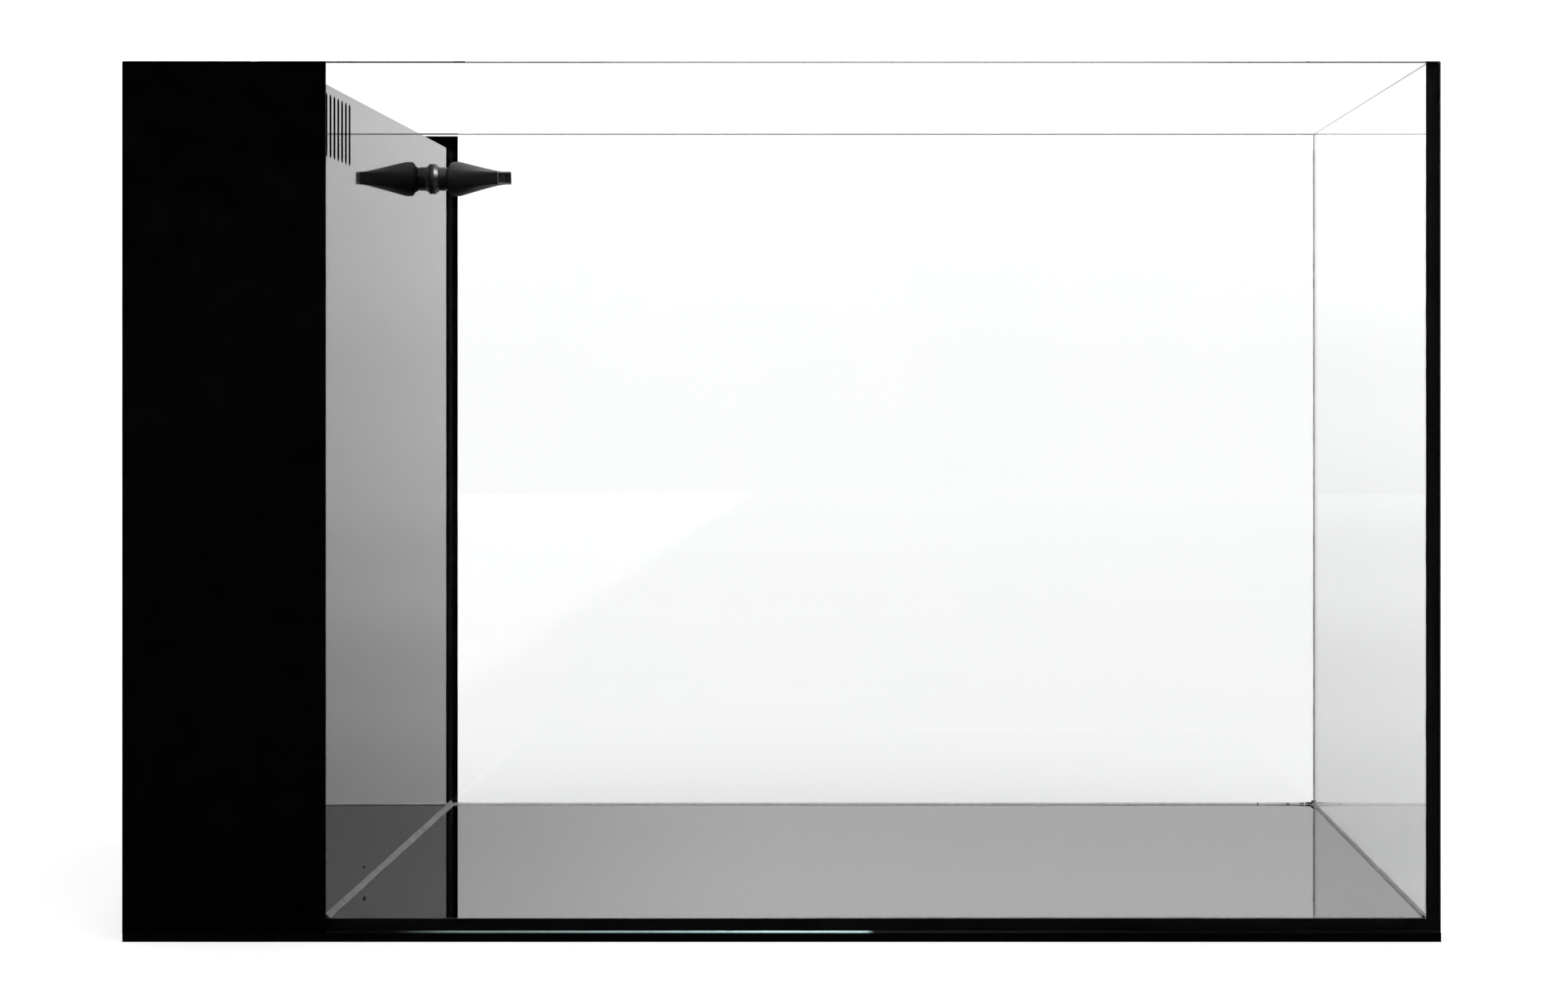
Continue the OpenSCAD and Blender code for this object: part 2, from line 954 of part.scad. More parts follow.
module return_hose() {
    color("#33363a")
        translate([chamber_x, pump_y, hose_bottom])
            ring(hose_d / 2, hose_in, hose_top - hose_bottom);
}

module hose_clamp() {
    r = hose_d / 2 + eps;
    ring(r + clamp_t, r, clamp_h);
    translate([-clamp_lug_w / 2, -r - clamp_t - clamp_lug_h, clamp_t])
        cube([clamp_lug_w, clamp_lug_h + clamp_t / 2, clamp_h - 2 * clamp_t]);
    translate([-clamp_screw_len / 2, -r - clamp_t - clamp_lug_h / 2, clamp_h / 2])
        rotate([0, 90, 0])
            cylinder(r = clamp_screw_r, h = clamp_screw_len);
}

module hose_clamps() {
    color("#c6c9cc")
        for (z = [hose_bottom + 4, hose_top - 4 - clamp_h])
            translate([chamber_x, pump_y, z])
                hose_clamp();
}

module outlet_elbow() {
    reach = panel_back - elbow_start - chamber_x;
    color("#1d1e20")
        translate([chamber_x, pump_y, nozzle_z])
            difference() {
                union() {
                    sphere(r = elbow_r);
                    axis_x()
                        cylinder(r = elbow_r, h = reach);
                    translate([0, 0, -elbow_drop])
                        cylinder(r = elbow_r, h = elbow_drop);
                    translate([0, 0, -elbow_tail])
                        cylinder(r = barb_r - barb_root, h = elbow_tail - elbow_r);
                    for (i = [0 : barb_count - 1])
                        translate([0, 0, -elbow_tail + 1 + i * barb_pitch])
                            cylinder(r1 = barb_r - barb_rise, r2 = barb_r, h = barb_h);
                }
                axis_x()
                    cylinder(r = duct_r, h = reach + through);
                translate([reach - shank_grip, 0, 0])
                    axis_x()
                        cylinder(r = shank_r + run_gap, h = shank_grip + through);
                translate([0, 0, -elbow_tail - through])
                    cylinder(r = duct_r, h = elbow_tail + through);
            }
}

module at_panel() {
    translate([panel_x, pump_y, nozzle_z])
        children();
}

module bulkhead() {
    back = panel_t + shank_end;
    turns = floor((shank_end - 1) / thread_pitch);
    color("#1a1b1d")
        at_panel()
            difference() {
                union() {
                    translate([-back, 0, 0])
                        axis_x()
                            cylinder(r = shank_r, h = back + gasket_t + eps);
                    translate([gasket_t, 0, 0])
                        axis_x()
                            cylinder(r = flange_r, h = flange_rim);
                    translate([gasket_t + flange_rim, 0, 0])
                        axis_x()
                            cylinder(r1 = flange_r, r2 = flange_top_r, h = flange_t - flange_rim);
                }
                translate([-back - through, 0, 0])
                    axis_x()
                        cylinder(r = duct_r + run_gap, h = back + gasket_t + flange_t + 2 * through);
                for (i = [0 : turns - 1])
                    translate([-back + 1.2 + i * thread_pitch, 0, 0])
                        axis_x()
                            ring(shank_r + through, shank_r - 0.4, 0.6);
            }
}

module bulkhead_gasket() {
    color("#0f0f0f")
        at_panel()
            axis_x()
                ring(flange_r - 0.2, shank_r, gasket_t);
}

module bulkhead_nut() {
    color("#1a1b1d")
        translate([panel_back - nut_t, pump_y, nozzle_z])
            axis_x()
                difference() {
                    cylinder(d = nut_flats / cos(30), h = nut_t, $fn = 6);
                    translate([0, 0, -through])
                        cylinder(r = shank_r, h = nut_t + 2 * through);
                }
}

// Half section of the ball stub, with its axis along the outline's Y
module stub_section() {
    face = gasket_t + flange_t + 0.1;
    difference() {
        union() {
            translate([0, -8])
                square([duct_r, ball_x + 4]);
            translate([0, face])
                square([shank_r, collar_len]);
            translate([0, face])
                square([neck_r, ball_x - face]);
            translate([0, ball_x])
                circle(r = ball_r);
        }
        translate([-2 * ball_r, -ball_r - 8])
            square([2 * ball_r + stub_bore, 2 * ball_x + 2 * ball_r + 8]);
        translate([0, ball_x + ball_r - 1.2])
            square([2 * ball_r, 4]);
    }
}

module ball_stub() {
    color("#1a1b1d")
        at_panel()
            axis_x()
                rotate_extrude()
                    stub_section();
}

// Blend from a round section at a0 to a flat one at a1, then straight on to the end
module flare(r, w, h, a0, a1, end, corner) {
    hull() {
        translate([a0, 0, 0])
            axis_x()
                cylinder(r = r, h = eps, $fn = 48);
        translate([end, 0, 0])
            along_x(eps)
                rounded_rect(w, h, corner, $fn = 24);
        translate([a1, 0, 0])
            along_x(eps)
                rounded_rect(w, h, corner, $fn = 24);
    }
}

// Half section of the socket that snaps over the ball, solid inside and round at its lip
module socket_section() {
    translate([0, -rim_a])
        square([shell_r - lip_r, rim_a + socket_end]);
    translate([0, -rim_a + lip_r])
        square([shell_r, rim_a - lip_r + socket_end]);
    translate([shell_r - lip_r, -rim_a + lip_r])
        circle(r = lip_r);
}

module flare_nozzle() {
    mouth_w = 2 * shell_r;
    inner_w = mouth_w - 2 * mouth_wall - 0.2;
    inner_h = mouth_h - 2 * mouth_wall;
    lip_x = nozzle_len - lip_len;
    outer_r = shell_r - eps;
    past_x = nozzle_len + through;
    color("#1a1b1d")
        at_panel()
            translate([ball_x, 0, 0])
                rotate([nozzle_roll, 0, -nozzle_yaw])
                    difference() {
                        union() {
                            axis_x()
                                rotate_extrude()
                                    socket_section();
                            flare(outer_r, mouth_w, mouth_h, socket_end, lip_x, nozzle_len, lip_corner);
                        }
                        axis_x()
                            sphere(r = socket_r);
                        flare(throat_r, inner_w, inner_h, throat_x, lip_x + eps, past_x, lip_corner / 2);
                    }
}

leveling_mat();
bottom_pane();
front_pane();
back_pane();
left_pane();
right_pane();
bottom_seam();
corner_seams();
front_film();
back_film();
left_film();
floor_bead();
corner_beads();
partition();
partition_bead();
intake_baffle();
weir_baffle();
baffle_beads();
sock_ledges();
sock_tray();
sock_ring();
filter_sock();
basket_ledges();
media_basket();
lower_tray();
middle_tray();
upper_tray();
media_bag();
sponge_block();
floss_pad();
pump_motor();
stator_core();
stator_coils();
pump_volute();
impeller();
impeller_shaft();
shaft_bushes();
inlet_strainer();
flow_dial();
pump_base();
suction_cups();
cable_gland();
return_hose();
hose_clamps();
outlet_elbow();
bulkhead();
bulkhead_gasket();
bulkhead_nut();
ball_stub();
flare_nozzle();
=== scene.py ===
"""Looks for the rimless aquarium: materials, silicone, film, nozzle, filter media, light and camera.

Every length in the piece makers is in millimetres, in the frame of the CAD part, and becomes metres
in make().
"""

import json
import math
import random

import bpy
from mathutils import Matrix, Vector, noise


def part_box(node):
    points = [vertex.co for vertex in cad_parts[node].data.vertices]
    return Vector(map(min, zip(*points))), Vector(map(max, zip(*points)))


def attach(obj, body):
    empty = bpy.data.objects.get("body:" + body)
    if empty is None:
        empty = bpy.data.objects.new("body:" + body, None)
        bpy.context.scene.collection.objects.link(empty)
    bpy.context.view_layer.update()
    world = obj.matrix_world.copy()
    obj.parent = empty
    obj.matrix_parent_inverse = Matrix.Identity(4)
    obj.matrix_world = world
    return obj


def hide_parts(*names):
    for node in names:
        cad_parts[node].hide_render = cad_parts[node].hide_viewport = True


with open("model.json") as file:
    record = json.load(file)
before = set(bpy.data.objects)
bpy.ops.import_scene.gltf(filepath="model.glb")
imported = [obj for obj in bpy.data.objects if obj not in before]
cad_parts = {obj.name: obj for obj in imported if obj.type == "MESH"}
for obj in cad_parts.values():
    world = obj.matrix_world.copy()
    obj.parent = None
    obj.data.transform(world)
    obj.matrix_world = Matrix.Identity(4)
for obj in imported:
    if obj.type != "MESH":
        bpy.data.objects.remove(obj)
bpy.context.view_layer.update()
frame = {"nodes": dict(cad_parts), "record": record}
NODES = frame["nodes"]
MM = 0.001
rng = random.Random(11)

# Tank sizes in millimetres, as in the CAD part: half lengths outside and inside the glass, the display
# face of the partition, the rim, the top of the floor pane, the ground bevels and the glued seams
OUTER_X, OUTER_Y = 300.0, 200.0
INNER_X, INNER_Y = 294.0, 194.0
PARTITION_X = -208.6
RIM_Z, FLOOR_Z = 401.0, 10.0
BEVEL = 0.5
SEAM = 0.5


def box_mm(node):
    low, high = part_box(node)
    return low / MM, high / MM


# ---- Materials ----


class Nodes:
    """Short ways to add shader nodes to one tree."""

    def __init__(self, tree):
        self.tree = tree

    def node(self, kind, inputs=(), **settings):
        made = self.tree.nodes.new("ShaderNode" + kind)
        for key, value in settings.items():
            setattr(made, key, value)
        for key, value in dict(inputs).items():
            if isinstance(value, bpy.types.NodeSocket):
                self.tree.links.new(value, made.inputs[key])
            else:
                made.inputs[key].default_value = value
        return made

    def math(self, kind, a, b):
        return self.node("Math", {0: a, 1: b}, operation=kind).outputs["Value"]

    def fit(self, value, low, high, to_low=0.0, to_high=1.0, shape="LINEAR"):
        span = {"Value": value, "From Min": low, "From Max": high, "To Min": to_low,
                "To Max": to_high}
        return self.node("MapRange", span, interpolation_type=shape).outputs["Result"]

    def ramp(self, value, stops):
        """Smooth steps through (input, output) stops."""
        total = stops[0][1]
        for (a, low), (b, high) in zip(stops, stops[1:]):
            total = self.math("ADD", total, self.fit(value, a, b, 0.0, high - low, "SMOOTHSTEP"))
        return total

    def choose(self, chosen, yes, no):
        """yes where chosen is 1 and no where it is 0."""
        change = self.math("MULTIPLY", self.math("SUBTRACT", yes, no), chosen)
        return self.math("ADD", no, change)


class Surface(Nodes):
    """One Principled material, built up from procedural textures in the frame's own coordinates."""

    def __init__(self, name, **constants):
        self.material = bpy.data.materials.new(name)
        self.material.use_nodes = True
        super().__init__(self.material.node_tree)
        self.shader = self.tree.nodes["Principled BSDF"]
        self.place = self.tree.nodes.new("ShaderNodeTexCoord").outputs["Object"]
        self.normal = None
        for socket, value in constants.items():
            self.shader.inputs[socket.replace("_", " ")].default_value = value

    def stretched(self, stretch):
        if stretch == (1, 1, 1):
            return self.place
        return self.node("Mapping", {"Vector": self.place, "Scale": stretch}).outputs["Vector"]

    def noise(self, scale, detail=3.0, stretch=(1, 1, 1)):
        made = self.node(
            "TexNoise", {"Vector": self.stretched(stretch), "Scale": scale, "Detail": detail}
        )
        return made.outputs["Fac"]

    def cells(self, scale, feature="F1", stretch=(1, 1, 1)):
        made = self.node(
            "TexVoronoi", {"Vector": self.stretched(stretch), "Scale": scale}, feature=feature
        )
        return made.outputs["Distance"]

    def bands(self, scale, axis="X", distortion=0.0):
        made = self.node(
            "TexWave",
            {"Vector": self.place, "Scale": scale, "Distortion": distortion},
            bands_direction=axis,
        )
        return made.outputs["Fac"]

    def tones(self, value, dark, light):
        made = self.node("ValToRGB", {"Fac": value})
        made.color_ramp.elements[0].color = (*dark, 1)
        made.color_ramp.elements[0].position = 0.3
        made.color_ramp.elements[1].color = (*light, 1)
        made.color_ramp.elements[1].position = 0.7
        return made.outputs["Color"]

    def over(self, amount, a, b):
        made = self.node("MixRGB", {"Fac": amount, "Color1": a, "Color2": b})
        return made.outputs["Color"]

    def colour(self, value):
        self.tree.links.new(value, self.shader.inputs["Base Color"])
        return self

    def rough(self, value, low, high):
        self.tree.links.new(
            self.fit(value, 0.3, 0.7, low, high), self.shader.inputs["Roughness"]
        )
        return self

    def bump(self, height, depth_mm, strength=1.0):
        settings = {"Height": height, "Distance": depth_mm * MM, "Strength": strength}
        if self.normal is not None:
            settings["Normal"] = self.normal
        self.normal = self.node("Bump", settings).outputs["Normal"]
        self.tree.links.new(self.normal, self.shader.inputs["Normal"])
        return self


def shade(tone, factor):
    return tuple(c * factor for c in tone)


def edge_glow_paint():
    """Painted glow on the ground lower edge of the front pane: the dark edge is coloured light teal
    along part of its length and towards its top, standing in for light that comes down inside the
    glass.
    """
    s = Surface("edge_glow_paint", Specular_IOR_Level=0.3)
    split = s.node("SeparateXYZ", {"Vector": s.place}).outputs
    along = s.ramp(
        split["X"],
        ((-0.178, 0.0), (-0.14, 0.3), (-0.07, 0.48), (-0.035, 0.7), (0.0, 1.0), (0.037, 0.9),
         (0.0425, 0.012), (0.2, 0.0)),
    )
    painted_glow = s.math("MULTIPLY", along, s.fit(split["Z"], 0.0039, 0.0047, 0.25, 1.0))
    painted_glow = s.math("MULTIPLY", painted_glow, s.fit(s.noise(900, 3, (0.4, 1, 1)), 0.3, 0.7, 0.85, 1.1))
    # Painted light: the edge colour goes from near black to light teal where the painted glow is
    s.colour(s.over(painted_glow, (0.0004, 0.0008, 0.0008, 1), (0.60, 0.86, 0.84, 1)))
    s.rough(s.noise(1500, 2), 0.3, 0.5)
    s.bump(s.noise(2400, 2), 0.01)
    return s.material


def clear_glass():
    s = Surface("glass", Roughness=0.0, IOR=1.52, Transmission_Weight=1.0)
    s.colour(s.tones(s.noise(18, 2), (0.997, 0.9995, 0.999), (1.0, 1.0, 1.0)))
    s.bump(s.noise(9, 1), 0.02, 0.05)
    absorb = s.node("VolumeAbsorption", {"Color": (0.30, 0.88, 0.76, 1), "Density": 0.9})
    s.tree.links.new(
        absorb.outputs["Volume"], s.tree.nodes["Material Output"].inputs["Volume"]
    )
    return s.material


def clear_silicone(name, thin, thick, tone, from_x=None):
    """Cured silicone; thin and thick are how much it hides, and before from_x it hides nothing."""
    s = Surface(name, Specular_IOR_Level=0.1)
    cloud = s.noise(140, 4)
    s.colour(s.tones(cloud, shade((tone,) * 3, 0.9), shade((tone,) * 3, 1.1)))
    hides = s.fit(s.noise(90, 3), 0.35, 0.65, thin, thick)
    if from_x is not None:
        x = s.node("SeparateXYZ", {"Vector": s.place}).outputs["X"]
        hides = s.math("MULTIPLY", hides, s.fit(x, from_x - 0.06, from_x))
    s.tree.links.new(hides, s.shader.inputs["Alpha"])
    s.rough(s.noise(420, 2), 0.4, 0.6)
    s.bump(s.noise(260, 3), 0.12, 0.4)
    return s.material


def moulded(name, tone, rough, spread=0.28, grain=2600.0, grain_mm=0.02, scuff=0.6, **constants):
    """Moulded plastic or rubber: cloudy tone, spark-eroded grain, and a rubbed look in patches."""
    s = Surface(name, **constants)
    cloud = s.noise(45, 4)
    rubbed = s.noise(11, 5)
    fine = s.noise(grain, 2)
    plain = s.tones(cloud, shade(tone, 1 - spread), shade(tone, 1 + spread))
    worn = s.fit(rubbed, 0.58, 0.72, 0.0, scuff)
    s.colour(s.over(worn, plain, (*shade(tone, 1.7), 1)))
    s.rough(s.math("ADD", s.math("MULTIPLY", cloud, 0.6), s.math("MULTIPLY", fine, 0.4)),
            rough - 0.07, rough + 0.08)
    s.bump(fine, grain_mm)
    return s.material


def foam():
    s = Surface("foam", Specular_IOR_Level=0.012)
    cell = s.cells(1500)
    wall = s.fit(cell, 0.1, 0.7)
    s.colour(s.over(wall, (0.0002, 0.0002, 0.00025, 1), (0.0008, 0.0008, 0.0009, 1)))
    s.rough(s.noise(300, 2), 0.78, 0.95)
    s.bump(cell, 0.12).bump(s.noise(70, 2), 0.2, 0.4)
    return s.material


def black_silicone():
    s = Surface("black_silicone", Specular_IOR_Level=0.25)
    s.colour(s.tones(s.noise(120, 3), (0.0008, 0.0008, 0.0009), (0.0022, 0.0022, 0.0023)))
    s.rough(s.noise(300, 2), 0.28, 0.46)
    s.bump(s.noise(220, 3), 0.12, 0.6)
    return s.material


def black_film():
    s = Surface("black_film", Specular_IOR_Level=0.35)
    peel = s.noise(900, 2)
    s.colour(s.tones(s.noise(30, 4), (0.0001, 0.0001, 0.0001), (0.0004, 0.0004, 0.00045)))
    s.rough(s.noise(65, 4), 0.1, 0.18)
    s.bump(peel, 0.008, 0.5).bump(s.noise(28, 2), 0.03, 0.25)
    return s.material


def black_acrylic():
    s = Surface("black_acrylic", IOR=1.49)
    s.colour(s.tones(s.noise(40, 4), (0.0022, 0.0022, 0.0024), (0.0055, 0.0055, 0.006)))
    s.rough(s.noise(26, 5), 0.012, 0.05)
    s.bump(s.noise(7, 1), 0.02, 0.06)
    return s.material


def felt():
    s = Surface("felt", Sheen_Weight=0.35, Sheen_Roughness=0.6, Specular_IOR_Level=0.2)
    fibre = s.noise(900, 4, (1, 1, 0.35))
    clump = s.noise(160, 4)
    fresh = s.tones(fibre, (0.66, 0.65, 0.60), (0.88, 0.87, 0.83))
    s.colour(s.over(s.fit(clump, 0.5, 0.75, 0, 0.55), fresh, (0.60, 0.57, 0.49, 1)))
    s.rough(clump, 0.82, 0.97)
    s.bump(fibre, 0.3, 0.9).bump(clump, 0.5, 0.5)
    return s.material


def mesh_bag():
    s = Surface("mesh_bag", Specular_IOR_Level=0.3)
    ring = s.cells(120)
    stone = s.tones(s.noise(700, 4), (0.50, 0.43, 0.33), (0.74, 0.68, 0.57))
    hole = s.fit(ring, 0.16, 0.30, 0.85, 0.0)
    gap = s.fit(ring, 0.50, 0.68, 0.0, 0.9)
    shadow = s.math("MAXIMUM", hole, gap)
    rings = s.over(shadow, stone, (0.05, 0.04, 0.03, 1))
    net = s.math("MAXIMUM", s.bands(420, "DIAGONAL", 0.6), s.bands(420, "Z", 0.8))
    thread = s.fit(net, 0.86, 0.95)
    s.colour(s.over(thread, rings, (0.80, 0.79, 0.74, 1)))
    s.rough(s.noise(400, 2), 0.7, 0.92)
    s.bump(thread, 0.3).bump(ring, 0.8, 0.5)
    return s.material


def sponge():
    s = Surface("sponge", Specular_IOR_Level=0.2)
    pore = s.cells(520)
    small = s.cells(1300)
    wall = s.tones(s.noise(60, 3), (0.014, 0.018, 0.026), (0.034, 0.041, 0.055))
    # Painted shade: the pores are darkened towards near black
    pore_shade = s.fit(s.math("MULTIPLY", pore, small), 0.02, 0.22, 0.9, 0.0)
    s.colour(s.over(pore_shade, wall, (0.002, 0.0025, 0.003, 1)))
    s.rough(small, 0.8, 0.97)
    s.bump(pore, 1.1).bump(small, 0.4, 0.7)
    return s.material


def floss():
    s = Surface(
        "floss", Sheen_Weight=0.4, Sheen_Roughness=0.5, Subsurface_Weight=0.25,
        Subsurface_Scale=0.004, Specular_IOR_Level=0.2,
    )
    strand = s.noise(650, 5, (1, 0.25, 1))
    cloud = s.noise(90, 5)
    clean = s.tones(strand, (0.70, 0.72, 0.74), (0.92, 0.93, 0.94))
    s.colour(s.over(s.fit(cloud, 0.52, 0.74, 0, 0.45), clean, (0.66, 0.63, 0.55, 1)))
    s.rough(cloud, 0.85, 0.98)
    s.bump(strand, 0.6).bump(cloud, 1.2, 0.6)
    return s.material


def steel():
    s = Surface("steel", Metallic=1.0)
    brushed = s.noise(1500, 3, (1, 1, 0.04))
    s.colour(s.tones(s.noise(90, 4), (0.46, 0.47, 0.48), (0.66, 0.67, 0.68)))
    s.rough(brushed, 0.24, 0.42)
    s.bump(brushed, 0.01)
    return s.material


def copper():
    s = Surface("copper", Metallic=0.9, Coat_Weight=0.4, Coat_Roughness=0.15)
    wire = s.bands(700, "Y", 0.3)
    s.colour(s.tones(wire, (0.16, 0.05, 0.02), (0.68, 0.30, 0.12)))
    s.rough(s.noise(300, 2), 0.22, 0.4)
    s.bump(wire, 0.3)
    return s.material


def ceramic():
    s = Surface("ceramic", Coat_Weight=0.3, Coat_Roughness=0.1)
    s.colour(s.tones(s.noise(500, 4), (0.76, 0.73, 0.67), (0.90, 0.88, 0.83)))
    s.rough(s.noise(800, 3, (1, 0.1, 1)), 0.18, 0.34)
    s.bump(s.noise(1800, 2, (1, 0.1, 1)), 0.01)
    return s.material


def hose():
    s = Surface("hose", Specular_IOR_Level=0.45)
    drawn = s.noise(400, 3, (1, 1, 0.03))
    s.colour(s.tones(drawn, (0.018, 0.019, 0.021), (0.034, 0.036, 0.039)))
    s.rough(s.noise(60, 4), 0.3, 0.46)
    s.bump(drawn, 0.06, 0.6)
    return s.material


MATERIALS = {
    "foam": foam(),
    "glass": clear_glass(),
    "black_silicone": black_silicone(),
    "clear_silicone": clear_silicone("clear_silicone", 0.58, 0.66, 0.34),
    "black_film": black_film(),
    "black_acrylic": black_acrylic(),
    "white_plastic": moulded("white_plastic", (0.72, 0.72, 0.69), 0.34, 0.06, scuff=0.25),
    "felt": felt(),
    "basket_plastic": moulded("basket_plastic", (0.024, 0.025, 0.027), 0.42),
    "mesh_bag": mesh_bag(),
    "sponge": sponge(),
    "floss": floss(),
    "pump_plastic": moulded("pump_plastic", (0.016, 0.0165, 0.018), 0.38),
    "impeller_plastic": moulded("impeller_plastic", (0.045, 0.047, 0.052), 0.33),
    "steel": steel(),
    "copper": copper(),
    "ceramic": ceramic(),
    "rubber": moulded("rubber", (0.011, 0.011, 0.0115), 0.6, grain=1400, grain_mm=0.04),
    "hose": hose(),
    "black_plastic": moulded(
        "black_plastic", (0.0085, 0.0088, 0.0092), 0.26, 0.22, 3200, 0.006, 0.25
    ),
}

# Thin bead and satin nozzle look different from the rest of their slots, and the front pane's ground
# edge carries a painted glow
THIN_BEAD = clear_silicone("thin_silicone", 0.08, 0.2, 0.06)
EDGE_GLOW_PAINT = edge_glow_paint()
PALE_BEAD = clear_silicone("pale_silicone", 0.3, 0.7, 0.75, 0.05)
GROUND_RIM = clear_silicone("ground_rim", 0.3, 0.42, 0.12)
# Painted light: the nozzle's lip and throat are its own black plastic made lighter, a painted
# highlight on the lip and painted light inside the throat
LIP_HIGHLIGHT_PAINT = moulded("lip_highlight_paint", (0.034, 0.034, 0.036), 0.45, 0.2, 3200, 0.006, 0.25)
THROAT_LIGHT_PAINT = moulded("throat_light_paint", (0.11, 0.11, 0.115), 0.5, 0.2, 3200, 0.006, 0.25)
SATIN_PLASTIC = moulded("satin_plastic", (0.0085, 0.0088, 0.0092), 0.56, 0.22, 3200, 0.006, 0.25)

for row in frame["record"]["subparts"]:
    carried = NODES[row["node"]].data.materials
    carried.clear()
    carried.append(MATERIALS[row["material_slot"]])


# ---- Piece makers ----


def make(name, verts, faces, body, slot, stands_for=(), sharp=38.0):
    mesh = bpy.data.meshes.new(name)
    mesh.from_pydata([Vector(v) * MM for v in verts], [], faces)
    mesh.validate()
    mesh.polygons.foreach_set("use_smooth", [True] * len(mesh.polygons))
    mesh.set_sharp_from_angle(angle=math.radians(sharp))
    mesh.materials.append(MATERIALS[slot])
    piece = bpy.data.objects.new(name, mesh)
    bpy.context.scene.collection.objects.link(piece)
    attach(piece, body)
    if stands_for:
        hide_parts(*stands_for)
    return piece


def wander(point, scale_mm, seed):
    """Smooth noise from -1 to 1 that changes over about scale_mm."""
    p = Vector(point) / scale_mm + Vector((seed, 1.7 * seed, -0.6 * seed))
    return noise.noise(p)


def lattice(low, high, counts, moved=None):
    """Closed box with a grid on each face; moved gives each point its final place."""
    index, verts, faces = {}, [], []

    def corner(key):
        if key not in index:
            p = Vector([low[a] + (high[a] - low[a]) * key[a] / counts[a] for a in range(3)])
            index[key] = len(verts)
            verts.append(moved(p) if moved else p)
        return index[key]

    for axis in range(3):
        u, v = (axis + 1) % 3, (axis + 2) % 3
        for side in (0, counts[axis]):
            for i in range(counts[u]):
                for j in range(counts[v]):
                    quad = []
                    for du, dv in ((0, 0), (1, 0), (1, 1), (0, 1)):
                        key = [0, 0, 0]
                        key[axis], key[u], key[v] = side, i + du, j + dv
                        quad.append(corner(tuple(key)))
                    faces.append(quad if side else quad[::-1])
    return verts, faces


def join(parts):
    """Several (verts, faces) as one."""
    verts, faces = [], []
    for more_verts, more_faces in parts:
        start = len(verts)
        verts += list(more_verts)
        faces += [[start + i for i in face] for face in more_faces]
    return verts, faces


def loft(rows, closed_ring=False, skin=False):
    """Faces between rows of points. Each row is a closed outline, or with skin an open line."""
    n = len(rows[0])
    verts = [p for row in rows for p in row]
    faces = []
    last = len(rows) if closed_ring else len(rows) - 1
    for r in range(last):
        a, b = r * n, ((r + 1) % len(rows)) * n
        for i in range(n - 1 if skin else n):
            j = (i + 1) % n
            faces.append([a + i, b + i, b + j, a + j])
    if not closed_ring and not skin:
        faces.append(list(range(n)))
        faces.append([(len(rows) - 1) * n + i for i in range(n)][::-1])
    return verts, faces


def tube(points, radius, sides=8):
    """Round tube along points, with its ends closed."""
    rows = []
    side = None
    for i, p in enumerate(points):
        ahead = Vector(points[min(i + 1, len(points) - 1)]) - Vector(points[max(i - 1, 0)])
        ahead.normalize()
        if side is None:
            side = ahead.orthogonal().normalized()
        side = (side - ahead * side.dot(ahead)).normalized()
        across = ahead.cross(side)
        rows.append(
            [
                Vector(p) + radius * (math.cos(a) * side + math.sin(a) * across)
                for a in [2 * math.pi * k / sides for k in range(sides)]
            ]
        )
    return loft(rows)


# ---- Mat, seams and film ----

# How far a piece reaches into the glass it lies against, so that no air shows between them
COUPLED = 0.03


def foam_mat():
    low, high = box_mm("leveling_mat")
    band, bulge, cut_back, waver = 12, 0.25, 0.15, 0.12

    def cut_edge(p):
        q = p.copy()
        near_x = 1 - min(1, (OUTER_X - abs(p.x)) / band)
        near_y = 1 - min(1, (OUTER_Y - abs(p.y)) / band)
        round_ = bulge * (1 - ((p.z - low.z) / (high.z - low.z) * 2 - 1) ** 2) - cut_back
        q.x += math.copysign(near_x * (round_ - waver * wander(p, 22, 3)), p.x)
        q.y += math.copysign(near_y * (round_ - waver * wander(p, 22, 5)), p.y)
        return q

    top = Vector((high.x, high.y, high.z + COUPLED))
    verts, faces = lattice(low, top, (100, 66, 4), cut_edge)
    return make("foam_mat", verts, faces, "tank", "foam", ["leveling_mat"])


def corner_seams():
    low, high = box_mm("corner_seams")
    parts = []
    for sx in (-1, 1):
        for sy in (-1, 1):
            near, far = sorted((sx * INNER_X, sx * OUTER_X))
            y0, y1 = sorted((sy * (INNER_Y - SEAM - COUPLED), sy * (INNER_Y + COUPLED)))

            def squeezed(p, sx=sx, sy=sy):
                q = p.copy()
                if abs(p.x) < INNER_X + SEAM:
                    q.x -= sx * (0.08 + 0.16 * abs(wander(p, 9, 2 + sx + 3 * sy)))
                return q

            parts.append(
                lattice((near, y0, low.z), (far, y1, high.z), (6, 2, 130), squeezed)
            )
    return make("corner_seam_glue", *join(parts), "tank", "black_silicone", ["corner_seams"])


def bottom_seam():
    low, high = box_mm("bottom_seam")
    x, y = INNER_X + COUPLED, INNER_Y + COUPLED
    inner_x, inner_y = INNER_X - SEAM - COUPLED, INNER_Y - SEAM - COUPLED
    parts = []

    def uneven(p):
        q = p.copy()
        if p.z > high.z - 0.1:
            q.z += 0.10 * wander(p, 7, 9) - 0.02
        return q

    for s in (-1, 1):
        y0, y1 = sorted((s * inner_y, s * y))
        parts.append(lattice((-x, y0, low.z), (x, y1, high.z), (180, 2, 3), uneven))
        x0, x1 = sorted((s * inner_x, s * x))
        parts.append(lattice((x0, -inner_y, low.z), (x1, inner_y, high.z), (2, 120, 3), uneven))
    return make("bottom_seam_glue", *join(parts), "tank", "black_silicone", ["bottom_seam"])


